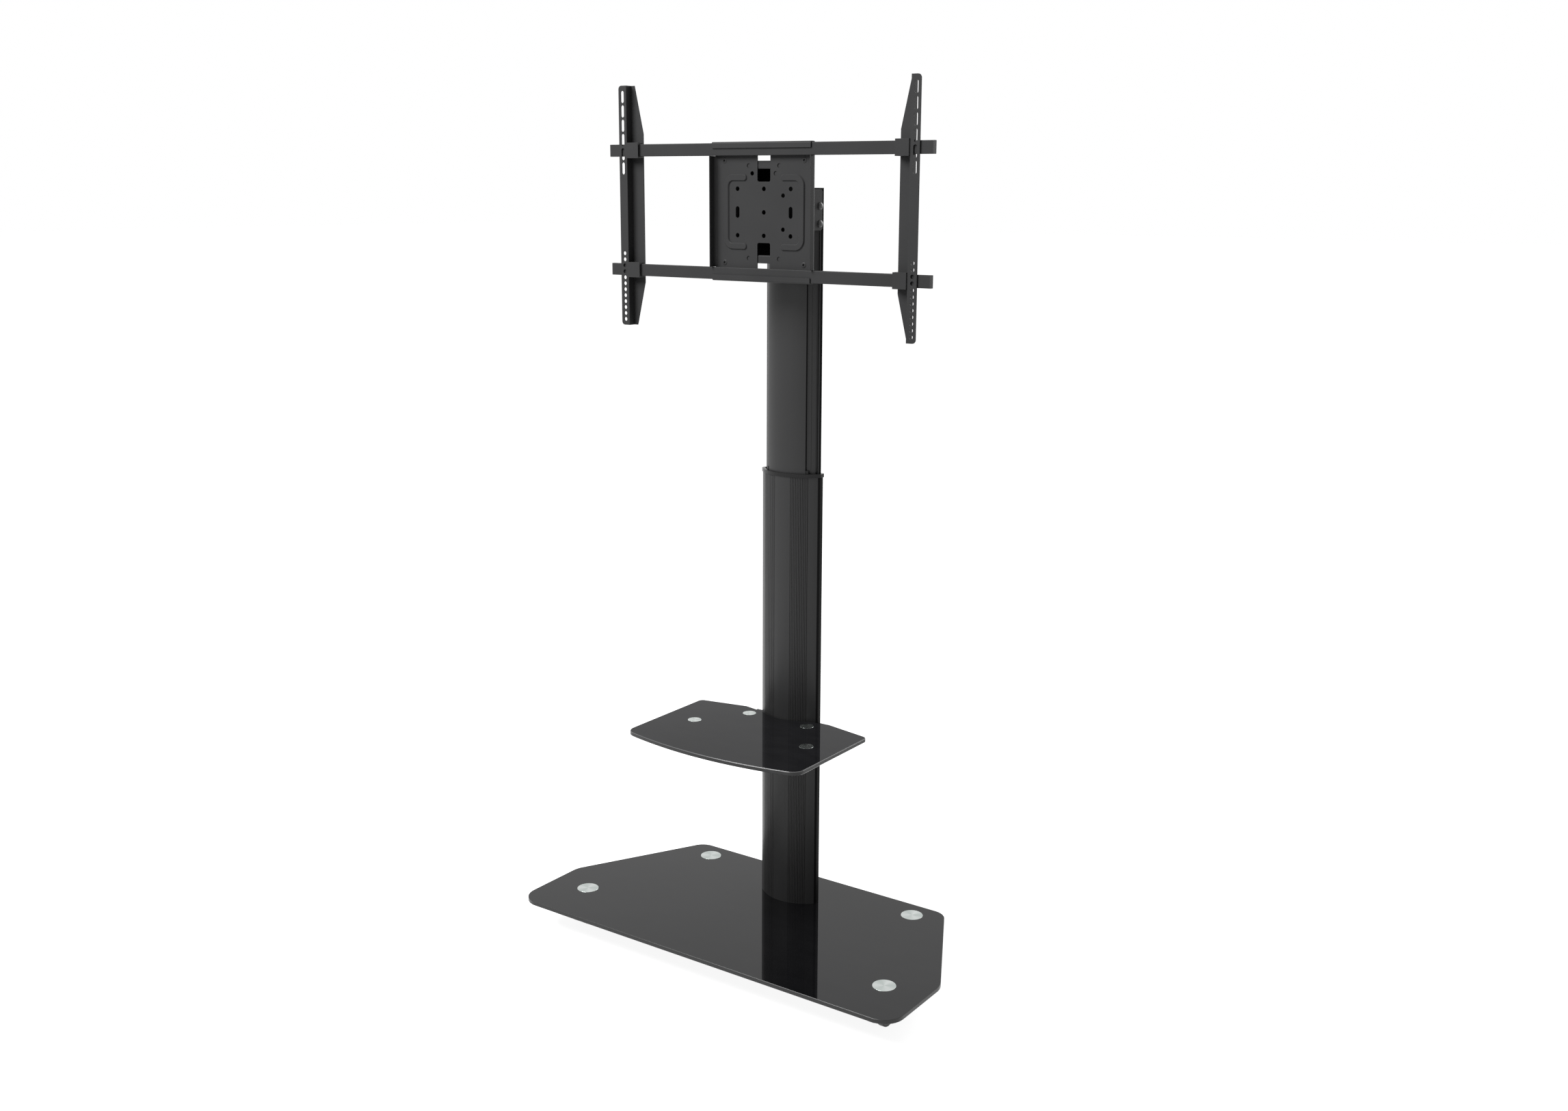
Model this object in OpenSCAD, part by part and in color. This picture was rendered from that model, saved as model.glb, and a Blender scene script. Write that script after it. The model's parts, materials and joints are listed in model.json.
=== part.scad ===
/* [Base glass] */
// Width of the base glass at its front
base_w = 1063; // [900:1:1200]
// Depth of the base glass, front to back
base_d = 524; // [480:1:600]
// Thickness of the base glass
base_t = 10; // [8:0.5:15]
// How far each side of the base glass runs in towards its back edge
base_taper = 167.5; // [130:0.5:190]
// Length of the straight part of each side edge
base_side = 208; // [150:1:240]
// Corner radius at the front
base_front_r = 50; // [20:1:70]
// Corner radius where the sides turn in
base_side_r = 60; // [20:1:90]
// Corner radius at the back
base_back_r = 40; // [20:1:60]
// Diameter of the round caps on the base glass
cap_d = 53; // [46:1:60]
// How far the front castors sit in from the side edge
castor_front_side = 101; // [85:0.5:150]
// How far the front castors sit behind the front edge
castor_front_in = 136.6; // [110:0.1:150]
// How far the rear castors sit in from the end of the back edge
castor_rear_side = 61; // [46:0.5:90]
// How far the rear castors sit ahead of the back edge
castor_rear_in = 51.3; // [48:0.1:80]

/* [Castors] */
// Diameter of a castor wheel
wheel_d = 55; // [50:1:58]
// Width of one wheel
wheel_w = 17; // [14:0.5:20]
// Gap between the two wheels of a castor
wheel_gap = 12; // [12:0.5:16]
// Distance from the swivel axis to the wheel axle
castor_trail = 14; // [12:0.5:18]
// Height from the floor to the underside of the base glass
castor_h = 74.5; // [72:0.5:85]
// Diameter of the castor stem
stem_d = 10; // [8:0.5:12]
// Diameter of the castor axle
axle_d = 8; // [6:0.5:9]

/* [Columns] */
// How far the front of the lower column lies behind the middle of the base
column_back = 92; // [80:1:110]
// Radius of the curved front of the lower column
lower_r = 106.3; // [105:0.1:112]
// Width of the lower column
lower_w = 161; // [156:0.5:162]
// Depth of the lower column
lower_d = 50.5; // [50:0.5:56]
// Length of the lower column
lower_l = 1056.5; // [950:0.5:1150]
// Wall of the lower column
lower_wall = 3; // [2.5:0.1:3.2]
// Gap between the upper column's front panel and the inside of the lower column
panel_gap = 1.7; // [1.2:0.1:2]
// Gap on each side between the two columns
side_gap = 1.5; // [1.2:0.1:2]
// How far the shoulders lie behind the front panel
shoulder_step = 4; // [3:0.1:4.2]
// Width of the proud front panel
panel_w = 103.6; // [96:0.1:106]
// Length of the upper column
upper_l = 1000; // [850:1:1100]
// Wall of the upper column
upper_wall = 3; // [2.5:0.1:3.5]
// How far the top of the upper column stands above the lower column
raised = 638.4; // [500:0.1:700]
// Fine grooves on each side of the lower column
flutes = 11; // [6:1:12]
// Angle between two fine grooves
flute_pitch = 2.18; // [2:0.01:2.3]
// Radius of a fine groove
flute_r = 1.1; // [0.8:0.1:1.2]

/* [Mount head] */
// Distance from the column's front panel to the face of the centre plate
head_reach = 79.7; // [74:0.1:110]
// How far the middle of the centre plate lies below the column's top
plate_drop = 50; // [30:1:80]
// Width of the centre plate
plate_w = 269.5; // [260:0.5:300]
// Sheet thickness of the centre plate
plate_t = 2; // [1.5:0.1:2.5]
// How far the side flanges of the centre plate stand forward
flange_h = 18.9; // [15:0.1:22]
// Half the distance between the two rails
rail_z = 133.75; // [132:0.05:136]
// Length of a rail
rail_l = 854; // [820:1:1000]
// Height of a rail
rail_h = 27; // [26:0.5:28]
// Depth of a rail
rail_d = 10.5; // [9.5:0.1:11]
// Width of the pressed ribs
rib_w = 15.5; // [12:0.5:16]
// Depth of the pressed ribs
rib_h = 1.5; // [1:0.1:1.6]
// Sideways spacing of the plate's outer holes
plate_hole_x = 141.8; // [138:0.1:146]
// Upright spacing of the plate's holes
plate_hole_z = 100; // [96:1:104]
// Diameter of the plate's holes
plate_hole_d = 10; // [8:0.5:11]

/* [Screen brackets] */
// Sideways place of the bracket's hole row
hole_x = 385.5; // [375:0.5:388]
// Width of the bracket's front flange
front_flange_w = 22.5; // [21:0.5:26]
// Sheet thickness of the brackets
bracket_t = 2.5; // [2:0.1:3]
// Length of the bracket above the middle of the centre plate
bracket_up = 276.2; // [272:0.1:300]
// Length of the bracket below the middle of the centre plate
bracket_down = 261.3; // [258:0.1:300]
// Width of the bracket's rear flange at its middle
rear_flange_w = 33.3; // [31:0.1:34]
// Width of the bracket's rear flange at its ends
rear_flange_end_w = 9; // [6:0.5:14]
// Length of the full-width part of the rear flange above the middle
rear_flange_up = 170; // [165:1:200]
// Length of the full-width part of the rear flange below the middle
rear_flange_down = 162; // [158:1:200]
// Width of the bracket's holes and slots
bracket_hole_d = 9; // [7:0.5:10]
// Length of a bracket slot
slot_l = 27; // [24:0.5:28]
// Spacing of the bracket's slots
slot_pitch = 31.5; // [30.5:0.1:32]
// Spacing of the bracket's round holes
hole_pitch = 13.72; // [13:0.01:14.5]

/* [Shelf] */
// Height of the shelf's top face above the base glass
shelf_h = 468.5; // [400:0.5:600]
// Width of the shelf glass
shelf_w = 482; // [460:1:520]
// Thickness of the shelf glass
shelf_t = 9.5; // [8:0.5:12]
// How far the shelf reaches ahead of the column
shelf_reach = 312; // [290:0.5:340]
// Radius of the shelf's curved front edge
shelf_front_r = 935; // [700:5:1200]
// Diameter of the round caps on the shelf
shelf_cap_d = 32.5; // [28:0.5:40]
// Spacing of the shelf's outer caps
shelf_cap_x = 320; // [300:1:340]
// Spacing of the shelf's inner caps
shelf_inner_x = 166.2; // [160:0.1:172]
// Distance between the outer and the inner caps, front to back
shelf_cap_dy = 115.5; // [100:0.5:120]
// Distance from the inner caps to the front of the column
shelf_inner_y = 12.9; // [10:0.1:16]

/* [Hidden] */

e = 0.5;
fit = 0.3;
slip = 0.05;

// Levels above the floor
glass_z = castor_h;
deck_z = glass_z + base_t;
lower_top = deck_z + lower_l;
upper_top = lower_top + raised;
plate_z = upper_top - plate_drop;

// Places along the depth
axis_y = column_back + lower_r;
lower_back = column_back + lower_d;
cover_t = 2.6;
back_gap = 0.6;
upper_r = lower_r - lower_wall - panel_gap;
upper_w = lower_w - 2 * lower_wall - 2 * side_gap;
upper_back = lower_back - axis_y - cover_t - back_gap;
shoulder_r = upper_r - shoulder_step;
plate_y = axis_y - upper_r - head_reach;
base_back_w = base_w - 2 * base_taper;
castor_front_y = -base_d / 2 + castor_front_in;
castor_rear_y = base_d / 2 - castor_rear_in;
castor_front_x = base_w / 2 - castor_front_side;
castor_rear_x = base_back_w / 2 - castor_rear_side;
castor_places = [[-castor_front_x, castor_front_y], [castor_front_x, castor_front_y],
    [-castor_rear_x, castor_rear_y], [castor_rear_x, castor_rear_y]];

// Points on an arc about c, counted in degrees from the front (-Y) towards +X
function arc(c, r, a0, a1, n) =
    [for (i = [0 : n]) let (a = a0 + (a1 - a0) * i / n) [c[0] + r * sin(a), c[1] - r * cos(a)]];

// Drops points that coincide with the next one
function spaced(p) =
    [for (i = [0 : len(p) - 1]) if (norm(p[i] - p[(i + 1) % len(p)]) > 0.001) p[i]];

function unit(v) = v / norm(v);
function flat(p) = [p[0], p[1]];
function turn(a) = a > 180 ? a - 360 : (a < -180 ? a + 360 : a);

// Points that round corner b, given as [x, y, radius], between its neighbours a and c
function corner(a, b, c, n) =
    let (p = flat(b), u = unit(flat(a) - p), w = unit(flat(c) - p), half = acos(u * w) / 2)
    let (o = p + unit(u + w) * b[2] / sin(half), s = p + u * b[2] / tan(half) - o)
    let (t = p + w * b[2] / tan(half) - o, a0 = atan2(s[1], s[0]))
    let (sweep = turn(atan2(t[1], t[0]) - a0))
    b[2] == 0 ? [p] : [for (i = [0 : n]) o + b[2] * [cos(a0 + sweep * i / n), sin(a0 + sweep * i / n)]];

// An outline with its corners rounded; each corner is [x, y, radius]
function rounded(p, n = 10) =
    [for (i = [0 : len(p) - 1]) each corner(p[(i + len(p) - 1) % len(p)], p[i], p[(i + 1) % len(p)], n)];

// The right half of a symmetrical outline, followed by its mirror image
function both_sides(p) = concat(p, [for (i = [len(p) - 1 : -1 : 0]) [-p[i][0], p[i][1], p[i][2]]]);

// D-shaped section about the columns' arc centre: curved front, flat sides and back
function d_section(r, w, back, c) =
    let (f = w / 2 - c, m = -sqrt((r - c) * (r - c) - f * f), a = asin(f / (r - c)))
    spaced(concat(arc([0, 0], r, -a, a, 44), arc([f, m], c, a, 90, 5), arc([f, back - c], c, 90, 180, 6),
        arc([-f, back - c], c, 180, 270, 6), arc([-f, m], c, 270, 360 - a, 5)));

module column_at(z) {
    translate([0, axis_y, z]) children();
}

module at_castor(i) {
    translate([castor_places[i][0], castor_places[i][1], 0]) children();
}

// Solid that lies between x0 and x1, y0 and y1, z0 and z1
module block(x, y, z) {
    translate([x[0], y[0], z[0]]) cube([x[1] - x[0], y[1] - y[0], z[1] - z[0]]);
}

// Round bar along Y, from y = a to y = b
module bar_y(d, a, b) {
    translate([0, a, 0]) rotate([-90, 0, 0]) cylinder(h = b - a, d = d, $fn = 48);
}

// Round bar along X, from x = a to x = b
module bar_x(d, a, b) {
    translate([a, 0, 0]) rotate([0, 90, 0]) cylinder(h = b - a, d = d, $fn = 48);
}

// ---- Base glass and its caps ----
boss_d = 16;
cap_h = 3;
cap_edge = 0.3;
cap_sink = 0.1;
gasket_t = 0.6;
base_bolt_d = 8;
base_bolt_x = 45;
foot_h = 36;
plate_half_w = lower_w / 2 + 14;
taper_y = -base_d / 2 + base_side;
base_outline = rounded(both_sides([[base_w / 2, -base_d / 2, base_front_r], [base_w / 2, taper_y, base_side_r],
    [base_back_w / 2, base_d / 2, base_back_r]]));

module base_bolt_places() {
    for (x = [-base_bolt_x, base_bolt_x]) translate([x, lower_back - lower_d / 3, 0]) children();
}

// Hole through glass whose top is at z = 0, with a recess in which a cap lies flush
module cap_hole(d, boss, glass_t, recess) {
    translate([0, 0, -glass_t - e]) cylinder(h = glass_t + 2 * e, d = boss + 2 * fit, $fn = 48);
    translate([0, 0, -recess]) cylinder(h = recess + e, d = d + 2 * fit, $fn = 96);
}

// Turned cap under glass whose top is at z = 0, with a boss that takes a thread from below
module glass_cap(d, boss, glass_t, thread) {
    translate([0, 0, -cap_sink - cap_h]) difference() {
        union() {
            rotate_extrude($fn = 96) polygon([[0, 0], [d / 2, 0], [d / 2, cap_h - cap_edge],
                [d / 2 - cap_edge, cap_h], [0, cap_h]]);
            translate([0, 0, cap_sink + cap_h - glass_t])
                cylinder(h = glass_t - cap_sink - cap_h + e, d = boss, $fn = 48);
        }
        translate([0, 0, cap_sink + cap_h - glass_t - e])
            cylinder(h = glass_t - cap_sink - cap_h + e, d = thread, $fn = 48);
    }
}

module base_glass() {
    color([0.05, 0.05, 0.06]) difference() {
        translate([0, 0, glass_z]) linear_extrude(base_t) polygon(base_outline);
        for (i = [0 : 3]) at_castor(i) translate([0, 0, deck_z])
            cap_hole(cap_d, boss_d, base_t, cap_sink + cap_h + gasket_t);
        base_bolt_places() translate([0, 0, glass_z - e])
            cylinder(h = base_t + 2 * e, d = base_bolt_d + 2, $fn = 32);
    }
}

module base_caps() {
    color("silver") for (i = [0 : 3]) at_castor(i) translate([0, 0, deck_z])
        glass_cap(cap_d, boss_d, base_t, stem_d);
}

module base_cap_gaskets() {
    color("black") for (i = [0 : 3]) at_castor(i)
        translate([0, 0, deck_z - cap_sink - cap_h - gasket_t]) difference() {
            cylinder(h = gasket_t, d = cap_d, $fn = 96);
            translate([0, 0, -e]) cylinder(h = gasket_t + 2 * e, d = boss_d + fit, $fn = 48);
        }
}

// ---- Castors ----
wheel_r = wheel_d / 2;
hub_end_t = 2.5;
castor_w = 2 * wheel_w + wheel_gap;
guard_gap = 1;
guard_t = 2.5;
barrel_d = 24;
barrel_z = wheel_d + guard_gap + 1;
stem_flange_d = 34;
stem_flange_t = 2;
barrel_top = castor_h - stem_flange_t - fit;

module castor_stems() {
    color("dimgray") for (i = [0 : 3]) at_castor(i) {
        translate([0, 0, barrel_z])
            cylinder(h = deck_z - cap_sink - cap_h - barrel_z, d = stem_d, $fn = 48);
        translate([0, 0, castor_h - stem_flange_t]) cylinder(h = stem_flange_t, d = stem_flange_d, $fn = 64);
    }
}

// The web between the wheels, the swivel barrel and the guard over the wheels
module castor_hood(i) {
    web_w = wheel_gap - 2 * fit;
    color([0.1, 0.1, 0.1]) at_castor(i) difference() {
        union() {
            translate([-web_w / 2, -castor_trail, wheel_r]) rotate([90, 0, 90])
                linear_extrude(web_w) circle(d = wheel_d - 6, $fn = 72);
            translate([0, 0, barrel_z]) cylinder(h = barrel_top - barrel_z, d = barrel_d, $fn = 64);
            block([-web_w / 2, web_w / 2], [-barrel_d / 2, barrel_d / 2 - 2], [wheel_r, barrel_z + e]);
            wheel_guard();
        }
        translate([0, 0, barrel_z]) cylinder(h = barrel_top, d = stem_d + 2 * slip, $fn = 48);
        translate([0, -castor_trail, wheel_r]) bar_x(axle_d + 2 * slip, -web_w, web_w);
    }
}

// Arched guard over the upper part of both wheels
module wheel_guard() {
    inner = wheel_r + guard_gap;
    translate([-castor_w / 2, -castor_trail, wheel_r]) rotate([90, 0, 90])
        rotate([0, 0, 12]) rotate_extrude(angle = 130, $fn = 96)
            translate([inner, 0]) square([guard_t, castor_w]);
}

module castor_wheels(i) {
    color([0.14, 0.14, 0.14]) at_castor(i) translate([0, -castor_trail, wheel_r])
        for (s = [-1, 1]) rotate([0, s * 90, 0]) translate([0, 0, wheel_gap / 2]) wheel();
}

// One wheel: rounded tread, dished outer face and a hub on the axle
module wheel() {
    tread_r = 3;
    dish = 3;
    hub_r = axle_d / 2 + 5;
    difference() {
        rotate_extrude($fn = 96) polygon(concat([[0, 0]],
            [for (a = [0 : 15 : 90]) [wheel_r - tread_r * (1 - sin(a)), tread_r * (1 - cos(a))]],
            [for (a = [0 : 15 : 90]) [wheel_r - tread_r * (1 - cos(a)), wheel_w - tread_r * (1 - sin(a))]],
            [[wheel_r - 6, wheel_w], [wheel_r - 9, wheel_w - dish], [hub_r + 2, wheel_w - dish],
                [hub_r, wheel_w], [0, wheel_w]]));
        translate([0, 0, -e]) cylinder(h = wheel_w - hub_end_t + e, d = axle_d + 2 * slip, $fn = 48);
    }
}

module castor_axle(i) {
    color("silver") at_castor(i) translate([0, -castor_trail, wheel_r])
        bar_x(axle_d, -castor_w / 2 + hub_end_t, castor_w / 2 - hub_end_t);
}

// ---- Column fixing under the glass ----
base_plate_t = 5;
pad_t = 1;

module base_plate() {
    color([0.1, 0.1, 0.1]) difference() {
        block([-plate_half_w, plate_half_w], [column_back - 10, lower_back + 14],
            [glass_z - pad_t - base_plate_t, glass_z - pad_t]);
        base_bolt_places() translate([0, 0, glass_z - pad_t - base_plate_t - e])
            cylinder(h = base_plate_t + 2 * e, d = base_bolt_d + 1, $fn = 32);
    }
}

module base_pad() {
    color("black") difference() {
        block([-plate_half_w, plate_half_w], [column_back - 10, lower_back + 14], [glass_z - pad_t, glass_z]);
        base_bolt_places() translate([0, 0, glass_z - pad_t - e])
            cylinder(h = pad_t + 2 * e, d = base_bolt_d + 1, $fn = 32);
    }
}

module base_bolts() {
    head_h = 5;
    low = glass_z - pad_t - base_plate_t;
    color("dimgray") base_bolt_places() {
        translate([0, 0, low - head_h]) cylinder(h = head_h, d = base_bolt_d * 1.6, $fn = 48);
        translate([0, 0, low - e]) cylinder(h = deck_z + foot_h - 8 - low, d = base_bolt_d, $fn = 32);
    }
}

// Block inside the foot of the lower column, which the base bolts screw into
module column_foot() {
    color("silver") difference() {
        column_at(deck_z) linear_extrude(foot_h) polygon(d_section(lower_r - lower_wall - fit,
            lower_w - 2 * lower_wall - 2 * fit, lower_back - axis_y - cover_t - fit, 2));
        base_bolt_places() translate([0, 0, deck_z - e])
            cylinder(h = foot_h - 6, d = base_bolt_d, $fn = 32);
    }
}

// ---- Lower column ----
lip_w = 18;
cover_half = lower_w / 2 - lip_w - fit;
tongue = 1.4;
tongue_t = 1;
flute_start = 12.2;

module lower_column() {
    back = lower_back - axis_y;
    inner_back = back - cover_t;
    color([0.27, 0.27, 0.27]) column_at(deck_z) linear_extrude(lower_l) difference() {
        polygon(d_section(lower_r, lower_w, back, 3));
        polygon(d_section(lower_r - lower_wall, lower_w - 2 * lower_wall, inner_back, 1.5));
        translate([-cover_half - fit, inner_back - e]) square([2 * (cover_half + fit), cover_t + 2 * e]);
        translate([-cover_half - tongue - fit, back - cover_t / 2 - tongue_t / 2 - 0.2])
            square([2 * (cover_half + tongue + fit), tongue_t + 0.4]);
        for (s = [-1, 1], i = [0 : flutes - 1])
            rotate(s * (flute_start + i * flute_pitch)) translate([0, -lower_r - flute_r / 4])
                circle(r = flute_r, $fn = 16);
    }
}

clamp_h = 60;

// Section shared by the rear cover and the clamp plate above it
module cover_section() {
    back = lower_back - axis_y;
    translate([-cover_half, back - cover_t + fit]) square([2 * cover_half, cover_t - fit]);
    translate([-cover_half - tongue, back - cover_t / 2 - tongue_t / 2])
        square([2 * (cover_half + tongue), tongue_t]);
}

module rear_cover() {
    color("black") column_at(deck_z) linear_extrude(lower_l - clamp_h - fit) cover_section();
}

module clamp_plate() {
    color([0.1, 0.1, 0.1]) difference() {
        column_at(lower_top - clamp_h) linear_extrude(clamp_h) cover_section();
        clamp_places() bar_y(clamp_d, lower_back - 2 * cover_t, lower_back + e);
    }
}

clamp_d = 6;
clamp_x = 36;

module clamp_places() {
    for (s = [-1, 1]) translate([s * clamp_x, 0, lower_top - clamp_h / 2 - 4]) children();
}

// Screws that press on the back of the upper column
module clamp_screws() {
    tip = axis_y + upper_back + 0.2;
    color("dimgray") clamp_places() {
        bar_y(clamp_d, tip, lower_back + e);
        bar_y(14, lower_back, lower_back + 6);
    }
}

// ---- Collar on top of the lower column ----
collar_h = 8;
collar_t = 2;
collar_top_t = 3;
tab_h = 7.6;
tab_w = 5.5;

module collar_section() {
    polygon(d_section(lower_r + collar_t, lower_w + 2 * collar_t, lower_back - axis_y + collar_t, 4));
}

module collar() {
    color([0.27, 0.27, 0.27]) column_at(lower_top) {
        translate([0, 0, collar_top_t - collar_h]) linear_extrude(collar_h - collar_top_t) difference() {
            collar_section();
            polygon(d_section(lower_r, lower_w, lower_back - axis_y, 3));
        }
        linear_extrude(collar_top_t) difference() {
            collar_section();
            polygon(d_section(upper_r + fit, upper_w + 2 * fit, upper_back + fit, edge_r + fit));
        }
        for (s = [0, 1]) mirror([s, 0, 0]) guide_tab();
    }
}

// Tab that reaches in from the collar over a shoulder, beside the front panel
module guide_tab() {
    x0 = panel_w / 2 + 2 * fit;
    x1 = x0 + tab_w;
    r0 = shoulder_r + 2 * fit;
    r1 = upper_r + 1;
    linear_extrude(collar_top_t + tab_h) polygon([[x0, -sqrt(r1 * r1 - x0 * x0)],
        [x1, -sqrt(r1 * r1 - x1 * x1)], [x1, -sqrt(r0 * r0 - x1 * x1)], [x0, -sqrt(r0 * r0 - x0 * x0)]]);
}

// ---- Upper column ----
edge_r = 1;
slot_angle = 45.5;
slot_neck_w = 5.8;
slot_neck_d = 2.5;
slot_pocket_w = 9;
slot_pocket_d = 3;
line_x = 60;
cavity_half = 57;

// Outer section of the upper column, grown by g all round
module upper_section(g) {
    polygon(d_section(shoulder_r + g, upper_w + 2 * g, upper_back + g, edge_r));
    panel_section(g);
}

// Proud front panel with rounded edges, grown by g
module panel_section(g) {
    c = 1.5;
    r = upper_r + g;
    half = panel_w / 2 + g;
    f = half - c;
    a = asin(f / (r - c));
    m = -sqrt((r - c) * (r - c) - f * f);
    polygon(spaced(concat(arc([0, 0], r, -a, a, 44), arc([f, m], c, a, 90, 5),
        [[half, -r * 0.7], [-half, -r * 0.7]], arc([-f, m], c, 270, 360 - a, 5))));
}

// Guide slot in a shoulder, square to the curved face
module shoulder_slot() {
    rotate(slot_angle) {
        translate([-slot_neck_w / 2, -shoulder_r - 1]) square([slot_neck_w, slot_neck_d + 1 + 0.1]);
        translate([-slot_pocket_w / 2, -shoulder_r + slot_neck_d]) square([slot_pocket_w, slot_pocket_d]);
    }
}

module cavity_section() {
    in_r = shoulder_r - upper_wall;
    intersection() {
        polygon(d_section(in_r, upper_w - 2 * upper_wall, upper_back - upper_wall, 2));
        translate([-cavity_half, -upper_r]) square([2 * cavity_half, upper_r]);
    }
    intersection() {
        circle(r = upper_r - upper_wall, $fn = 240);
        translate([-panel_w / 2 + upper_wall, -upper_r]) square([panel_w - 2 * upper_wall, upper_r / 3]);
    }
}

module upper_column() {
    bolt = saddle_bolt_d + 0.6;
    color([0.27, 0.27, 0.27]) difference() {
        column_at(upper_top - upper_l) linear_extrude(upper_l) difference() {
            upper_section(0);
            cavity_section();
            shoulder_slot();
            mirror([1, 0]) shoulder_slot();
            for (s = [-1, 1]) rotate(s * asin(line_x / shoulder_r)) translate([-0.5, -shoulder_r - 1])
                square([1, 2]);
        }
        saddle_bolt_places() bar_y(bolt, axis_y - upper_r - e, axis_y - upper_r + 4 * upper_wall);
    }
}

cap_t = 3;

module column_top_cap() {
    color("black") {
        column_at(upper_top) linear_extrude(cap_t) upper_section(0);
        column_at(upper_top - 12) linear_extrude(12 + e) polygon(d_section(shoulder_r - upper_wall - fit,
            2 * (cavity_half - fit), upper_back - upper_wall - fit, 2));
    }
}

// Plastic band round the lower end of the upper column, which runs inside the lower one
glide_h = 40;

module glide_band() {
    color("white") column_at(upper_top - upper_l) linear_extrude(glide_h) difference() {
        polygon(d_section(lower_r - lower_wall - fit, lower_w - 2 * lower_wall - 2 * fit,
            upper_back + back_gap - fit / 2, 1.5));
        upper_section(0);
    }
}

// ---- Saddle between the column and the mount head ----
saddle_up = 50;
saddle_down = 38.7;
saddle_w = upper_w - 0.4;
saddle_front = 13.5;
saddle_bolt_d = 8;
saddle_bolt_head_d = 13;
saddle_bolt_head_h = 8;
saddle_bolt_x = 30;
saddle_bolt_z = [24, -22];
cheek_t = 3;
screw_z = [14.1, -24.4];
screw_d = 8;
cheek_rear = axis_y - upper_r + 32.5;
screw_y = cheek_rear - 9.5;
nut_plate_t = 5;
front_panel_y = axis_y - upper_r;
saddle_y = front_panel_y - saddle_front;
channel_t = 3;

module saddle_bolt_places() {
    for (x = [-saddle_bolt_x, saddle_bolt_x], z = saddle_bolt_z) translate([x, 0, plate_z + z]) children();
}

module head_screw_places() {
    for (z = screw_z) translate([0, screw_y, plate_z + z]) children();
}

module saddle() {
    color([0.15, 0.15, 0.15]) difference() {
        block([-saddle_w / 2, saddle_w / 2], [saddle_y, cheek_rear - fit],
            [plate_z - saddle_down, plate_z + saddle_up]);
        column_at(plate_z - saddle_down - e) linear_extrude(saddle_up + saddle_down + 2 * e) upper_section(0.1);
        saddle_bolt_places() bar_y(saddle_bolt_d + 0.6, saddle_y - e, axis_y);
        head_screw_places() {
            bar_x(screw_d, saddle_w / 2 - 13, saddle_w / 2 + e);
            bar_x(screw_d, -saddle_w / 2 - e, -saddle_w / 2 + 13);
        }
    }
}

// The inner face of the front panel at the bolts
nut_y = axis_y - sqrt(pow(upper_r - upper_wall, 2) - pow(saddle_bolt_x + 13, 2)) + 0.2;

module saddle_bolts() {
    web_y = saddle_y - channel_t;
    color("dimgray") saddle_bolt_places() {
        bar_y(saddle_bolt_head_d, web_y - saddle_bolt_head_h, web_y);
        bar_y(saddle_bolt_d, web_y - e, nut_y + nut_plate_t);
    }
}

module nut_plate() {
    color("gray") difference() {
        block([-saddle_bolt_x - 12, saddle_bolt_x + 12], [nut_y, nut_y + nut_plate_t],
            [plate_z + saddle_bolt_z[1] - 12, plate_z + saddle_bolt_z[0] + 12]);
        saddle_bolt_places() bar_y(saddle_bolt_d, nut_y - e, nut_y + nut_plate_t + e);
    }
}

// Domed screws through the cheeks into the saddle
module head_screws() {
    color([0.12, 0.12, 0.12]) head_screw_places() for (s = [0, 1]) mirror([s, 0, 0]) {
        bar_x(screw_d, saddle_w / 2 - 12, head_face + e);
        translate([head_face, 0, 0]) rotate([0, 90, 0]) rotate_extrude($fn = 64)
            polygon([[0, 0], [8.3, 0], [8.3, 1], [7.2, 2.8], [5, 4.2], [2.2, 4.8], [0, 4.8]]);
    }
}

// ---- Mount head: two cheeks, two cross flanges and the channel between them ----
head_half = 109.5;
head_flange_z = 92;
head_flange_t = 3;
head_ear_x = 90;
head_ear_half = 118;
head_flange_half = 118;
bend_r = 2.6;
cheek_arm = 34;
head_face = saddle_w / 2 + 0.2 + cheek_t;
head_back_y = plate_y + plate_t + head_flange_t;

module head_cheek(s) {
    color([0.15, 0.15, 0.15]) difference() {
        translate([s * (head_face - cheek_t / 2) - cheek_t / 2, 0, plate_z]) rotate([90, 0, 90])
            linear_extrude(cheek_t) polygon(rounded([[head_back_y, -head_half, 0],
                [head_back_y + 20, -head_half, 12], [cheek_rear - cheek_arm, -saddle_down, 10], [cheek_rear, -saddle_down, 8],
                [cheek_rear, saddle_up, 8], [cheek_rear - cheek_arm, saddle_up, 10],
                [head_back_y + 20, head_half, 12], [head_back_y, head_half, 0]]));
        head_screw_places() bar_x(screw_d + 0.6, -head_face - e, head_face + e);
    }
}

module stud_places() {
    for (x = [-stud_x, stud_x]) translate([x, 0, stud_z]) children();
}

stud_x = 40.6;
stud_z = 99;
stud_d = 8;
corner_x = 106.2;
corner_z = 110;
corner_d = 5;
corner_hole_d = corner_d + 2 * fit;
corner_sink_d = 2 * corner_d + 2;
corner_sink_h = 1.6;

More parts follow.
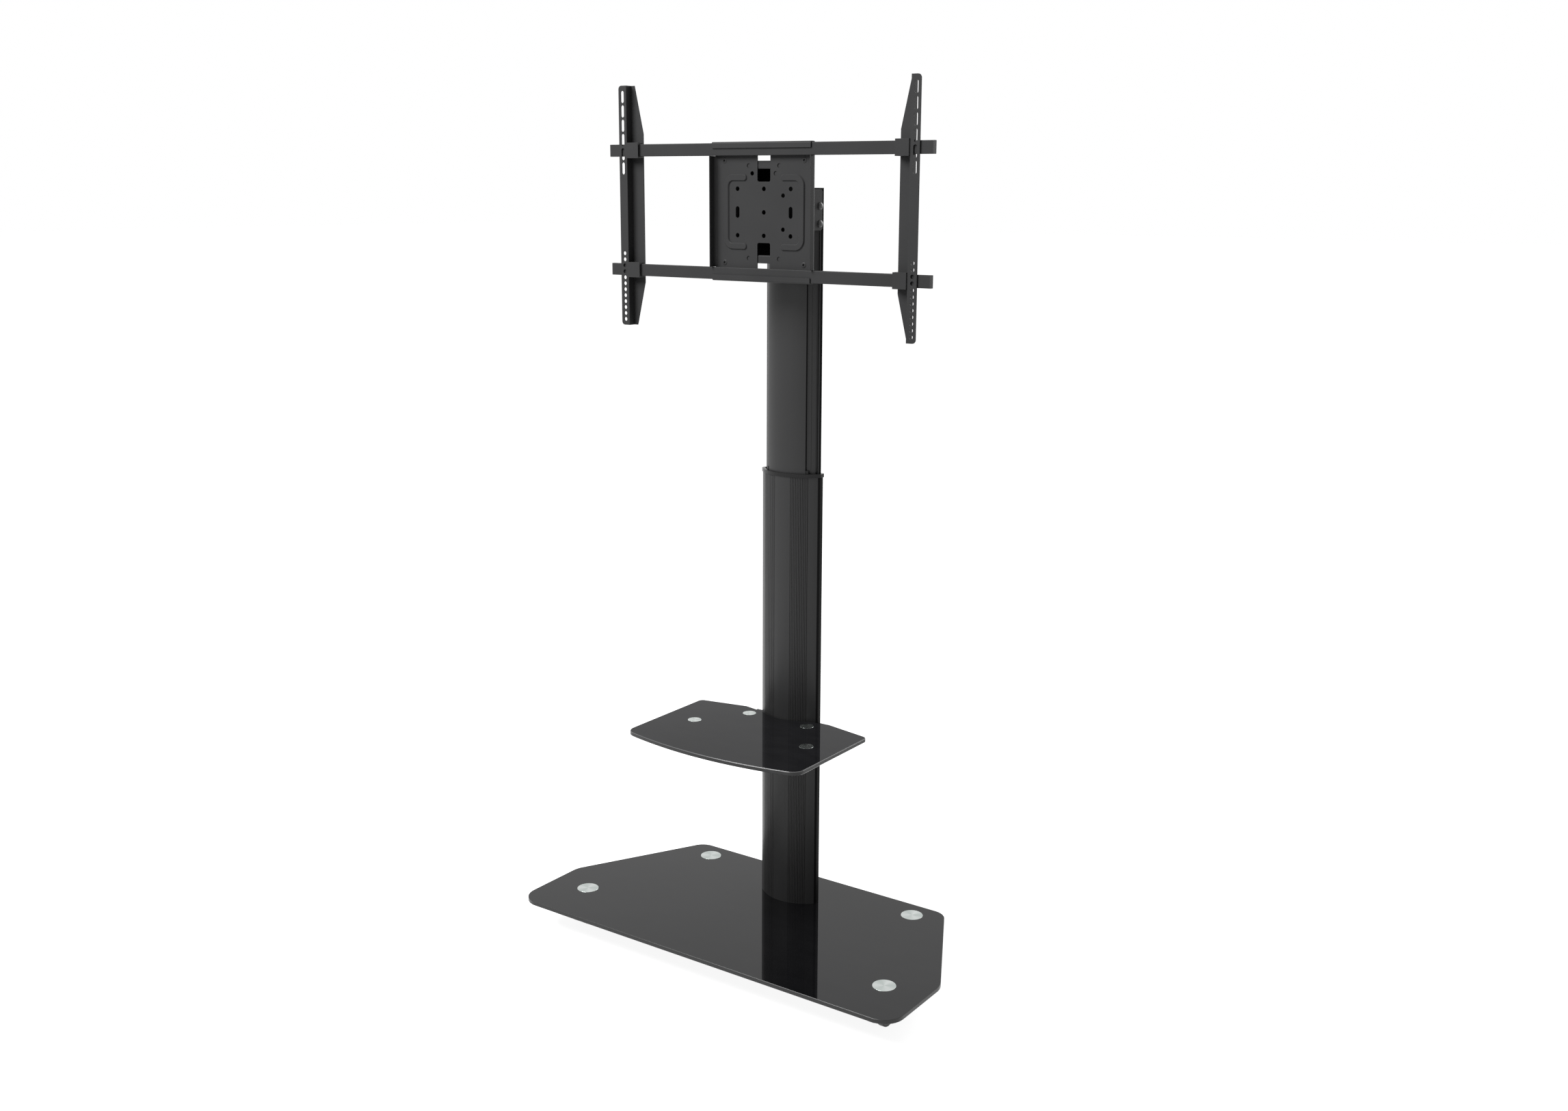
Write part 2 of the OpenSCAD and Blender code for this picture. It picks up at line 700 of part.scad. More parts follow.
// Cross flange behind the centre plate, with an ear at each end; drawn for the top
module head_flange() {
    color([0.15, 0.15, 0.15]) difference() {
        union() {
            translate([-head_flange_half, 0, 0]) rotate([90, 0, 90]) linear_extrude(2 * head_flange_half)
                polygon(rounded([[plate_y + plate_t, head_flange_z, bend_r], [head_back_y, head_flange_z, 0],
                    [head_back_y, head_half, 0], [plate_y + plate_t, head_half, 0]], 5));
            for (s = [-1, 1]) translate([s * (head_flange_half + head_ear_x) / 2, 0, 0])
                block([-(head_flange_half - head_ear_x) / 2, (head_flange_half - head_ear_x) / 2],
                    [plate_y + plate_t, head_back_y], [head_flange_z + bend_r, head_ear_half]);
        }
        stud_places() bar_y(stud_d + 0.4, plate_y, head_back_y + e);
        for (s = [-1, 1]) translate([s * corner_x, 0, corner_z]) bar_y(corner_d, plate_y, head_back_y + e);
    }
}

module head_flange_top() {
    translate([0, 0, plate_z]) head_flange();
}

module head_flange_bottom() {
    translate([0, 0, plate_z]) mirror([0, 0, 1]) head_flange();
}

// Pressed channel that closes the head behind the plate; its web is bolted on through the saddle
module head_channel() {
    inner_z = head_flange_z;
    outer_z = inner_z + channel_t;
    web_y = saddle_y - channel_t;
    nut_room = nut_h + stud_d / 3 + 1.5;
    color([0.15, 0.15, 0.15]) difference() {
        translate([-saddle_w / 2, 0, plate_z]) rotate([90, 0, 90]) linear_extrude(saddle_w)
            polygon(rounded([[head_back_y, -outer_z, 0], [saddle_y, -outer_z, 2 * channel_t],
                [saddle_y, outer_z, 2 * channel_t], [head_back_y, outer_z, 0],
                [head_back_y, inner_z, 0], [web_y, inner_z, channel_t],
                [web_y, -inner_z, channel_t], [head_back_y, -inner_z, 0]], 6));
        saddle_bolt_places() bar_y(saddle_bolt_d + 0.6, web_y - e, saddle_y + e);
        for (s = [0, 1]) translate([0, 0, plate_z]) mirror([0, 0, s])
            stud_places() bar_y(nut_d + 2, head_back_y - e, head_back_y + nut_room);
    }
}

// ---- Centre plate ----
lip_z = rail_z + rail_h / 2 + fit + plate_t;
lip_low = lip_z - 13.3;
lip_w_half = 131.1;
flange_half_h = rail_z - rail_h / 2 - fit;
window_w = 34.5;
window_z = 65.3;
rib_x = 100.75;
rib_z = 73.75;
rib_end = 45;
rib_corner = 17.25;
lip_gap = 1;
rail_back = plate_y - 0.7;
rail_front = rail_back - rail_d;
slot_len = 25.2;

// Trapezium section of a pressed rib: foot width w, crest width c, height h
module rib_section(w, c, h) {
    polygon([[-w / 2, -0.2], [-w / 2, 0], [-c / 2, h], [c / 2, h], [w / 2, 0], [w / 2, -0.2]]);
}

// C-shaped rib round the right half of the plate, standing up from z = 0
module c_rib(w, c, h) {
    end = rib_end + rib_w / 2;
    leg = rib_x - rib_corner - end;
    translate([rib_x, -rib_z + rib_corner, 0]) rotate([90, 0, 180])
        linear_extrude(2 * (rib_z - rib_corner)) rib_section(w, c, h);
    for (s = [-1, 1]) {
        translate([end, s * rib_z, 0]) rotate([90, 0, 90]) linear_extrude(leg) rib_section(w, c, h);
        translate([rib_x - rib_corner, s * (rib_z - rib_corner), 0]) rotate([0, 0, s > 0 ? 0 : -90])
            rotate_extrude(angle = 90, $fn = 96) translate([rib_corner, 0]) rib_section(w, c, h);
        translate([end, s * rib_z, 0]) rotate_extrude($fn = 48)
            polygon([[0, -0.2], [w / 2, -0.2], [w / 2, 0], [c / 2, h], [0, h]]);
    }
}

// Places a plan drawn in X and Y on the plate's front face, Y up and Z forward
module on_plate() {
    translate([0, plate_y, plate_z]) rotate([90, 0, 0]) children();
}

module plate_holes() {
    for (s = [-1, 1]) {
        for (x = [-plate_hole_x / 2, 0, plate_hole_x / 2]) translate([x, s * plate_hole_z / 2])
            circle(d = plate_hole_d, $fn = 48);
        translate([s * plate_hole_x / 2, 0]) {
            square([plate_hole_d, slot_len - plate_hole_d], center = true);
            for (t = [-1, 1]) translate([0, t * (slot_len - plate_hole_d) / 2]) circle(d = plate_hole_d, $fn = 48);
        }
        translate([side_hole_x, s * side_hole_z]) circle(d = small_hole_d, $fn = 48);
        translate([-window_w / 2, s > 0 ? window_z + 4 : -rail_z - 8])
            square([window_w, rail_z + 8 - window_z - 4]);
        translate([-window_w / 2 + 4, s > 0 ? window_z : -window_z - 8]) square([window_w - 8, 8]);
        for (t = [-1, 1]) translate([t * (window_w / 2 - 4), s * (window_z + 4)]) circle(r = 4, $fn = 32);
        for (x = [-stud_x, stud_x]) translate([x, s * stud_z]) circle(d = stud_head, $fn = 48);
        for (x = [-corner_x, corner_x]) translate([x, s * corner_z]) circle(d = corner_hole_d, $fn = 32);
    }
    circle(d = plate_hole_d, $fn = 48);
    translate([-tie_stud_x, tie_stud_z]) circle(d = small_hole_d, $fn = 48);
    translate([tie_stud_x, tie_stud_z]) circle(d = stud_head, $fn = 48);
}

stud_head = 10;
side_hole_x = 50.9;
side_hole_z = 36;
small_hole_d = 9.5;
tie_stud_x = 31.3;
tie_stud_z = 82.7;
flange_r = 8;

module centre_plate() {
    color([0.27, 0.27, 0.27]) difference() {
        union() {
            on_plate() translate([0, 0, -plate_t]) linear_extrude(plate_t) {
                square([plate_w - 2 * flange_r, 2 * flange_half_h], center = true);
                square([2 * lip_w_half, 2 * (lip_z - plate_t / 2)], center = true);
            }
            for (s = [0, 1]) mirror([s, 0, 0]) {
                side_flange();
                on_plate() c_rib(rib_w, rib_w - 5, rib_h);
            }
            for (s = [0, 1]) translate([0, 0, plate_z]) mirror([0, 0, s]) rail_lip();
        }
        on_plate() translate([0, 0, -plate_t - e]) linear_extrude(plate_t + 2 * e) plate_holes();
        for (s = [0, 1]) mirror([s, 0, 0]) on_plate() translate([0, 0, -plate_t - 0.01])
            c_rib(rib_w - 2.4, rib_w - 7.4, rib_h);
        for (s = [-1, 1], t = [-1, 1]) translate([s * corner_x, plate_y, plate_z + t * corner_z])
            rotate([-90, 0, 0]) translate([0, 0, -0.01])
                cylinder(h = corner_sink_h, d1 = corner_sink_d, d2 = corner_hole_d, $fn = 48);
    }
}

// Side flange of the plate, bent forward with a round inner bend
module side_flange() {
    outer = plate_w / 2;
    r = flange_r + plate_t - 2;
    translate([0, 0, plate_z - flange_half_h]) linear_extrude(2 * flange_half_h) {
        translate([outer - plate_t, plate_y - flange_h]) square([plate_t, flange_h - r + plate_t + 0.01]);
        intersection() {
            translate([outer - r, plate_y + plate_t - r]) difference() {
                circle(r = r, $fn = 64);
                circle(r = r - plate_t, $fn = 64);
            }
            translate([outer - r, plate_y + plate_t - r]) square([r, r]);
        }
    }
}

// Hook that goes over a rail and down its front; drawn for the top
module rail_lip() {
    r = 4;
    back = plate_y + plate_t;
    front = rail_front - lip_gap - plate_t;
    low = lip_low;
    translate([-lip_w_half, 0, 0]) rotate([90, 0, 90]) linear_extrude(2 * lip_w_half) difference() {
        polygon(rounded([[back, low, 0], [front, low, 0], [front, lip_z, r], [back, lip_z, r]], 6));
        polygon(rounded([[back - plate_t, low - e, 0], [front + plate_t, low - e, 0],
            [front + plate_t, lip_z - plate_t, r - plate_t], [back - plate_t, lip_z - plate_t, r - plate_t]], 6));
    }
}

// Studs pressed into the plate, flush with its face
module plate_studs() {
    color([0.3, 0.3, 0.3]) {
        for (s = [-1, 1]) translate([0, 0, plate_z]) mirror([0, 0, s > 0 ? 0 : 1]) stud_places() {
            bar_y(stud_head, plate_y, plate_y + plate_t);
            bar_y(stud_d, plate_y + plate_t - e, head_back_y + nut_h + stud_d / 3);
        }
        translate([tie_stud_x, 0, plate_z + tie_stud_z]) {
            bar_y(stud_head, plate_y, plate_y + plate_t);
            bar_y(stud_d - 2, plate_y + plate_t - e, head_back_y + stud_d);
        }
    }
}

nut_h = 0.8 * stud_d;
nut_d = 1.85 * stud_d;

module plate_nuts() {
    color("silver") for (s = [-1, 1]) translate([0, 0, plate_z]) mirror([0, 0, s > 0 ? 0 : 1]) stud_places()
        difference() {
            translate([0, head_back_y, 0]) rotate([-90, 30, 0]) cylinder(h = nut_h, d = nut_d, $fn = 6);
            bar_y(stud_d, head_back_y - e, head_back_y + nut_h + e);
        }
}

// Countersunk screws, whose heads lie a little below the plate's face
module corner_screws() {
    sunk = 0.2;
    gap = 0.25;
    slope = (corner_sink_d - corner_hole_d) / corner_sink_h;
    color([0.2, 0.2, 0.2]) for (s = [-1, 1], t = [-1, 1]) translate([s * corner_x, 0, plate_z + t * corner_z]) {
        translate([0, plate_y + sunk, 0]) rotate([-90, 0, 0]) cylinder(h = corner_sink_h - sunk,
            d1 = corner_sink_d - sunk * slope - 2 * gap, d2 = corner_hole_d - 2 * gap, $fn = 48);
        bar_y(corner_d, plate_y + e, head_back_y + 1.5);
    }
}

// ---- Rails ----
rail_wall = 1.5;
rail_r = 1.5;
plug_l = 12;
plug_head = 2;
tube_half = rail_l / 2 - plug_head;

// Bar of the rail's outer section, from x = a to x = b
module rail_bar(a, b) {
    translate([a, 0, 0]) rotate([90, 0, 90]) linear_extrude(b - a)
        polygon(rounded([[rail_front, -rail_h / 2, rail_r], [rail_back, -rail_h / 2, rail_r],
            [rail_back, rail_h / 2, rail_r], [rail_front, rail_h / 2, rail_r]], 6));
}

module rail(s) {
    color([0.22, 0.22, 0.22]) translate([0, 0, plate_z + s * rail_z]) difference() {
        rail_bar(-tube_half, tube_half);
        block([-tube_half - e, tube_half + e], [rail_front + rail_wall, rail_back - rail_wall],
            [-rail_h / 2 + rail_wall, rail_h / 2 - rail_wall]);
    }
}

module rail_end_plugs() {
    inset = rail_wall + 0.1;
    color("black") for (s = [-1, 1], t = [0, 1]) mirror([t, 0, 0]) translate([0, 0, plate_z + s * rail_z]) {
        block([tube_half - plug_l, tube_half + e], [rail_front + inset, rail_back - inset],
            [-rail_h / 2 + inset, rail_h / 2 - inset]);
        rail_bar(tube_half, rail_l / 2);
    }
}

// ---- Screen brackets ----
bracket_front = plate_y - 14.7;
rear_flange_y = plate_y + 3.6;
web_x = hole_x - front_flange_w / 2 - 0.45;
bracket_r = 8;
first_slot_z = 94;
first_hole_z = 97;
slots = 6;
holes = 12;
pass = 1.2;

// Right-hand bracket: front flange, web and rear flange of one folded sheet
module screen_bracket() {
    color([0.25, 0.25, 0.25]) difference() {
        union() {
            translate([0, bracket_front + bracket_t, plate_z]) rotate([90, 0, 0]) linear_extrude(bracket_t)
                polygon(rounded([[web_x, -bracket_down, 0], [web_x + front_flange_w, -bracket_down, bracket_r],
                    [web_x + front_flange_w, bracket_up, bracket_r], [web_x, bracket_up, 0]], 6));
            block([web_x, web_x + bracket_t], [bracket_front, rear_flange_y + bracket_t],
                [plate_z - bracket_down, plate_z + bracket_up]);
            translate([0, rear_flange_y + bracket_t, plate_z]) rotate([90, 0, 0]) linear_extrude(bracket_t)
                polygon([[web_x + bracket_t, -bracket_down], [web_x + bracket_t, bracket_up],
                    [web_x - rear_flange_end_w, bracket_up], [web_x - rear_flange_w, rear_flange_up],
                    [web_x - rear_flange_w, -rear_flange_down], [web_x - rear_flange_end_w, -bracket_down]]);
        }
        for (s = [-1, 1]) translate([0, 0, plate_z + s * rail_z])
            block([web_x - 1, web_x + bracket_t + 1], [bracket_front + bracket_t, rail_back + pass],
                [-rail_h / 2 - pass, rail_h / 2 + pass]);
        translate([hole_x, 0, plate_z]) bracket_holes();
    }
}

module bracket_holes() {
    for (i = [0 : holes - 1]) translate([0, 0, -first_hole_z - i * hole_pitch])
        bar_y(bracket_hole_d, bracket_front - e, bracket_front + bracket_t + e);
    for (i = [0 : slots - 1]) translate([0, 0, first_slot_z + i * slot_pitch]) {
        for (t = [-1, 1]) translate([0, 0, t * (slot_l - bracket_hole_d) / 2])
            bar_y(bracket_hole_d, bracket_front - e, bracket_front + bracket_t + e);
        block([-bracket_hole_d / 2, bracket_hole_d / 2], [bracket_front - e, bracket_front + bracket_t + e],
            [-(slot_l - bracket_hole_d) / 2, (slot_l - bracket_hole_d) / 2]);
    }
}

// ---- Bushings and clips that carry a bracket on the rails ----
bush_l = 33.3;
bush_h = 30.4;
bush_front = 4.1;
clip_l = 33.1;
clip_t = 2;
clip_in = 1.3;

module rail_bushings() {
    color("black") for (s = [-1, 1]) translate([0, 0, plate_z + s * rail_z]) difference() {
        block([web_x - fit - bush_l, web_x - fit], [rail_front - bush_front, rear_flange_y],
            [-bush_h / 2, bush_h / 2]);
        block([web_x - fit - bush_l - e, web_x], [rail_front - 0.2, rail_back + 0.2],
            [-rail_h / 2 - 0.2, rail_h / 2 + 0.2]);
    }
}

module rail_clips() {
    front = rail_front - bush_front;
    color([0.27, 0.27, 0.27]) for (s = [-1, 1]) translate([0, 0, plate_z + s * rail_z]) difference() {
        block([web_x - clip_in - clip_l, web_x - clip_in], [front - clip_t, rear_flange_y],
            [-bush_h / 2 - clip_t, bush_h / 2 + clip_t]);
        block([web_x - clip_in - clip_l - e, web_x], [front, rear_flange_y + e], [-bush_h / 2, bush_h / 2]);
    }
}

// ---- Shelf ----
shelf_z = deck_z + shelf_h - shelf_t;
shelf_pad_t = 1.5;
shelf_plate_t = 4;
shelf_plate_z = shelf_z - shelf_pad_t - shelf_plate_t;
shelf_boss_d = 12;
shelf_bolt_d = 6;
shelf_gap = 5;
shelf_cut_half = 61;
shelf_hump_x = 119;
shelf_hump_y = 26.2;
shelf_back_y = column_back + 1.2;
inner_y = column_back - shelf_inner_y;
outer_y = inner_y - shelf_cap_dy;
shelf_front_y = column_back - shelf_reach;
side_front_y = shelf_front_y + shelf_front_r - sqrt(shelf_front_r * shelf_front_r - shelf_w * shelf_w / 4);
front_a = asin((shelf_w / 2 - 34) / shelf_front_r);
front_arc = arc([0, shelf_front_y + shelf_front_r], shelf_front_r, 0, front_a, 12);
cut_r = lower_r + shelf_gap;
cut_arc = arc([0, axis_y], cut_r, asin(shelf_cut_half / cut_r), 0, 12);
shelf_outline = rounded(both_sides(concat([for (p = front_arc) if (p[0] > 0) [p[0], p[1], 0]],
    [[shelf_w / 2, side_front_y, 30], [shelf_w / 2, shelf_back_y, 13.5],
        [shelf_hump_x, column_back + shelf_hump_y, 22]], [for (p = cut_arc) if (p[0] > 0) [p[0], p[1], 0]])), 8);

module shelf_places() {
    for (s = [-1, 1]) {
        translate([s * shelf_cap_x / 2, outer_y, 0]) children();
        translate([s * shelf_inner_x / 2, inner_y, 0]) children();
    }
}

module shelf_glass() {
    color([0.05, 0.05, 0.06]) difference() {
        translate([0, 0, shelf_z]) linear_extrude(shelf_t) polygon(shelf_outline);
        shelf_places() translate([0, 0, shelf_z + shelf_t])
            cap_hole(shelf_cap_d, shelf_boss_d, shelf_t, cap_sink + cap_h);
    }
}

module shelf_caps() {
    color("silver") shelf_places() translate([0, 0, shelf_z + shelf_t])
        glass_cap(shelf_cap_d, shelf_boss_d, shelf_t, shelf_bolt_d);
}

module shelf_pads() {
    color("black") shelf_places() difference() {
        translate([0, 0, shelf_z - shelf_pad_t]) cylinder(h = shelf_pad_t, d = shelf_cap_d - 3, $fn = 64);
        translate([0, 0, shelf_z - shelf_pad_t - e])
            cylinder(h = shelf_pad_t + 2 * e, d = shelf_bolt_d + 1, $fn = 32);
    }
}

arm_w = 36;
lug_half = lower_w / 2 + 23.5;
hub_gap = 0.4;

module column_clearance() {
    translate([0, axis_y])
        polygon(d_section(lower_r + hub_gap, lower_w + 2 * hub_gap, lower_back - axis_y + hub_gap, 3));
}

// Flat plate with four arms under the shelf glass
module shelf_bracket() {
    dx = (shelf_cap_x - shelf_inner_x) / 2;
    dy = inner_y - outer_y;
    color([0.1, 0.1, 0.1]) difference() {
        translate([0, 0, shelf_plate_z]) linear_extrude(shelf_plate_t) difference() {
            union() {
                for (s = [0, 1]) mirror([s, 0]) {
                    translate([shelf_cap_x / 2, outer_y]) circle(d = arm_w, $fn = 72);
                    translate([shelf_inner_x / 2, inner_y]) circle(d = arm_w, $fn = 72);
                    translate([shelf_inner_x / 2, inner_y]) rotate(-atan2(dy, dx))
                        translate([0, -arm_w / 2]) square([norm([dx, dy]), arm_w]);
                }
                translate([-shelf_inner_x / 2, inner_y - arm_w / 2]) square([shelf_inner_x, arm_w]);
                translate([-lug_half, inner_y]) square([2 * lug_half, lower_back - inner_y]);
            }
            column_clearance();
        }
        shelf_places() translate([0, 0, shelf_plate_z - e])
            cylinder(h = shelf_plate_t + 2 * e, d = shelf_bolt_d + 0.6, $fn = 32);
    }
}

module shelf_bolts() {
    color("dimgray") shelf_places() {
        translate([0, 0, shelf_plate_z - 4]) cylinder(h = 4, d = 11, $fn = 48);
        translate([0, 0, shelf_plate_z - e]) cylinder(h = shelf_t + 2 * e, d = shelf_bolt_d, $fn = 32);
    }
}

hub_h = 42;
hub_side = 13;
hub_front = 8;
clamp_bar_t = 9;
hub_back = lower_back + hub_gap;
hub_screw_x = lower_w / 2 + hub_gap + hub_side / 2;
hub_screw_d = 6;
hub_screw_in = 3 * hub_screw_d;

module hub_screw_places() {
    for (x = [-hub_screw_x, hub_screw_x], z = [hub_h / 4, hub_h * 3 / 4])
        translate([x, 0, shelf_plate_z - hub_h + z]) children();
}

// Block that holds the shelf bracket on the front and sides of the column
module shelf_hub() {
    half = lower_w / 2 + hub_gap + hub_side;
    color([0.1, 0.1, 0.1]) difference() {
        translate([0, 0, shelf_plate_z - hub_h]) linear_extrude(hub_h) difference() {
            polygon(rounded([[half, column_back - hub_front + 14, 14], [half, hub_back, 0], [-half, hub_back, 0],
                [-half, column_back - hub_front + 14, 14], [-half + 34, column_back - hub_front, 20],
                [half - 34, column_back - hub_front, 20]], 6));
            column_clearance();
        }
        shelf_places() translate([0, 0, shelf_plate_z - 8]) cylinder(h = 8 + e, d = 13, $fn = 48);
        hub_screw_places() bar_y(hub_screw_d, hub_back - hub_screw_in - 2, hub_back + e);
    }
}

// Bar across the back of the column that clamps the hub
module shelf_clamp() {
    half = lower_w / 2 + hub_gap + hub_side;
    color([0.1, 0.1, 0.1]) difference() {
        block([-half, half], [hub_back, hub_back + clamp_bar_t], [shelf_plate_z - hub_h, shelf_plate_z]);
        hub_screw_places() bar_y(hub_screw_d + 0.6, hub_back - e, hub_back + clamp_bar_t + e);
    }
}

module shelf_clamp_screws() {
    color("dimgray") hub_screw_places() {
        bar_y(hub_screw_d, hub_back - hub_screw_in, hub_back + clamp_bar_t + e);
        bar_y(5 / 3 * hub_screw_d, hub_back + clamp_bar_t, hub_back + clamp_bar_t + 0.8 * hub_screw_d);
    }
}

base_glass();
base_caps();
base_cap_gaskets();
castor_stems();
castor_hood(0);  // castor_hood_front_left
castor_hood(1);  // castor_hood_front_right
castor_hood(2);  // castor_hood_rear_left
castor_hood(3);  // castor_hood_rear_right
castor_wheels(0);  // castor_wheels_front_left
castor_wheels(1);  // castor_wheels_front_right
castor_wheels(2);  // castor_wheels_rear_left
castor_wheels(3);  // castor_wheels_rear_right
castor_axle(0);  // castor_axle_front_left
castor_axle(1);  // castor_axle_front_right
castor_axle(2);  // castor_axle_rear_left
castor_axle(3);  // castor_axle_rear_right
base_plate();
base_pad();
base_bolts();
column_foot();
lower_column();
rear_cover();
collar();
clamp_plate();
clamp_screws();
upper_column();
column_top_cap();
glide_band();
saddle();
saddle_bolts();
nut_plate();
head_screws();
head_cheek(-1);  // head_cheek_left
head_cheek(1);  // head_cheek_right
head_flange_top();
head_flange_bottom();
head_channel();
centre_plate();
plate_studs();
plate_nuts();
corner_screws();
rail(1);  // rail_top
rail(-1);  // rail_bottom
rail_end_plugs();
mirror([1, 0, 0]) screen_bracket();  // screen_bracket_left
screen_bracket();  // screen_bracket_right
mirror([1, 0, 0]) rail_bushings();  // rail_bushings_left
rail_bushings();  // rail_bushings_right
mirror([1, 0, 0]) rail_clips();  // rail_clips_left
rail_clips();  // rail_clips_right
shelf_glass();
shelf_caps();
shelf_pads();
shelf_bracket();
shelf_bolts();
shelf_hub();
shelf_clamp();
shelf_clamp_screws();
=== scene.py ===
"""Looks of the tv stand: finishes, softened edges, turned caps, glass and a white studio.

Lengths are in metres. A value in millimetres is multiplied by MM, or says so.
"""
import json
import math

import bmesh
import bpy
from mathutils import Matrix, Vector


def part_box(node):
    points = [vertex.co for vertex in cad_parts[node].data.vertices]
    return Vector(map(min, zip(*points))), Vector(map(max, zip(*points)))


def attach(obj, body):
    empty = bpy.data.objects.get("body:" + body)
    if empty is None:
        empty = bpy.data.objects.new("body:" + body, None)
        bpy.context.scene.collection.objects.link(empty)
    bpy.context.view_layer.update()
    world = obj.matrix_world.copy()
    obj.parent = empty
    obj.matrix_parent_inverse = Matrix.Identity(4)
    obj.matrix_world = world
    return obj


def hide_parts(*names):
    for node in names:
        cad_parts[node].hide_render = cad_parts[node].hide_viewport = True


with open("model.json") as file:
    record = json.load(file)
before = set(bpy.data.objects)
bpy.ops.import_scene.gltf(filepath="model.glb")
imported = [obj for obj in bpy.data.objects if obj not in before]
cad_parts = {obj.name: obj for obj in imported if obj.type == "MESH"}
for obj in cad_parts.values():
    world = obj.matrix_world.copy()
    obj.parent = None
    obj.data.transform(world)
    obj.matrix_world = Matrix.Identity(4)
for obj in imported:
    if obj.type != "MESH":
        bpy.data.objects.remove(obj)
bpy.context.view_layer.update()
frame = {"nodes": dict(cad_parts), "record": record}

MM = 0.001
BODY_OF = {node: body for body, nodes in frame["record"]["behaviour"]["bodies"].items() for node in nodes}
CORNERS = ("front_left", "front_right", "rear_left", "rear_right")


# ---- Camera, as solved from straight edges and hole rows of the photograph ----
CAM_POS = Vector((2.06605, -2.86969, 1.7776))
CAM_YAW = 34.815  # degrees to the left
CAM_PITCH = 12.915  # degrees down
CAM_ROLL = 0.311  # degrees
CAM_LENS = 36.597  # mm
SENSOR_WIDTH = 36  # mm
CAM_FAR = 100


def make_camera():
    """The photograph's camera."""
    yaw, pitch, roll = (math.radians(a) for a in (CAM_YAW, CAM_PITCH, CAM_ROLL))
    ahead = Vector((-math.sin(yaw) * math.cos(pitch), math.cos(yaw) * math.cos(pitch), -math.sin(pitch)))
    right = Vector((math.cos(yaw), math.sin(yaw), 0))
    up = right.cross(ahead)
    rolled_right = math.cos(roll) * right + math.sin(roll) * up
    rolled_up = -math.sin(roll) * right + math.cos(roll) * up
    data = bpy.data.cameras.new("camera")
    data.lens = CAM_LENS
    data.sensor_width = SENSOR_WIDTH
    data.sensor_fit = "HORIZONTAL"
    data.clip_end = CAM_FAR
    cam = bpy.data.objects.new("camera", data)
    bpy.context.scene.collection.objects.link(cam)
    axes = Matrix((rolled_right, rolled_up, -ahead)).transposed()
    cam.matrix_world = Matrix.Translation(CAM_POS) @ axes.to_4x4()
    bpy.context.scene.camera = cam


# ---- Materials. A noise's scale is roughly its number of grains to a metre ----
NOISE_SPAN = (0.3, 0.7)  # nearly all values of a noise texture lie between these
CAP_RINGS = 260  # the wave texture's scale, for rings 1.2 mm apart
CAP_HIGHLIGHT_SECTORS = 3  # sectors of painted highlight on a turned cap
CAP_RING_SHARE = 0.25  # of a cap's change in colour, what its rings make; its sectors of painted highlight make the rest
# colour ends of a cap's rings and of its painted highlight sectors
CAP_DARK = (0.45, 0.495, 0.475)
CAP_LIGHT = (0.61, 0.64, 0.625)


class Nodes:
    """A material's node tree, with short calls for the nodes used here."""

    def __init__(self, name):
        self.material = bpy.data.materials.new(name)
        self.material.use_nodes = True
        self.tree = self.material.node_tree
        self.shader = self.tree.nodes["Principled BSDF"]

    def add(self, kind, **values):
        node = self.tree.nodes.new(kind)
        for key, value in values.items():
            setattr(node, key, value)
        return node

    def link(self, a, b):
        self.tree.links.new(a, b)

    def set(self, **values):
        """Plain values of the shader, with _ for the blanks in their names."""
        for key, value in values.items():
            self.shader.inputs[key.replace("_", " ")].default_value = value

    def coords(self, stretch):
        """Object coordinates, multiplied by stretch."""
        where = self.add("ShaderNodeTexCoord")
        mapping = self.add("ShaderNodeMapping")
        mapping.inputs["Scale"].default_value = stretch
        self.link(where.outputs["Object"], mapping.inputs["Vector"])
        return mapping.outputs["Vector"]

    def noise(self, scale, detail=3, rough=0.5, stretch=(1, 1, 1)):
        node = self.add("ShaderNodeTexNoise")
        node.inputs["Scale"].default_value = scale
        node.inputs["Detail"].default_value = detail
        node.inputs["Roughness"].default_value = rough
        self.link(self.coords(stretch), node.inputs["Vector"])
        return node.outputs["Fac"]

    def span(self, value, low, high, source=NOISE_SPAN):
        """Maps a texture's value, which runs over source, onto low to high."""
        node = self.add("ShaderNodeMapRange")
        node.inputs["From Min"].default_value = source[0]
        node.inputs["From Max"].default_value = source[1]
        node.inputs["To Min"].default_value = low
        node.inputs["To Max"].default_value = high
        self.link(value, node.inputs["Value"])
        return node.outputs["Result"]

    def colour(self, value, dark, light):
        """The base colour, between dark and light by a texture's value."""
        node = self.add("ShaderNodeMix", data_type="RGBA")
        self.link(value, node.inputs["Factor"])
        node.inputs["A"].default_value = (*dark, 1)
        node.inputs["B"].default_value = (*light, 1)
        self.link(node.outputs["Result"], self.shader.inputs["Base Color"])

    def grey(self, texture, level, low, high, tint=0.0):
        """A grey base colour from low to high times level, with tint of extra blue."""
        ends = [level * share for share in (low, high)]
        self.colour(self.span(texture, 0, 1), *((v, v, v * (1 + tint)) for v in ends))

    def roughness(self, texture, low, high, source=NOISE_SPAN):
        self.link(self.span(texture, low, high, source), self.shader.inputs["Roughness"])

    def bump(self, height, strength, distance, after=None):
        """Relief from a texture, on top of the relief named after."""
        node = self.add("ShaderNodeBump")
        node.inputs["Strength"].default_value = strength
        node.inputs["Distance"].default_value = distance
        self.link(height, node.inputs["Height"])
        if after:
            self.link(after, node.inputs["Normal"])
        return node.outputs["Normal"]

    def normal(self, output):
        self.link(output, self.shader.inputs["Normal"])


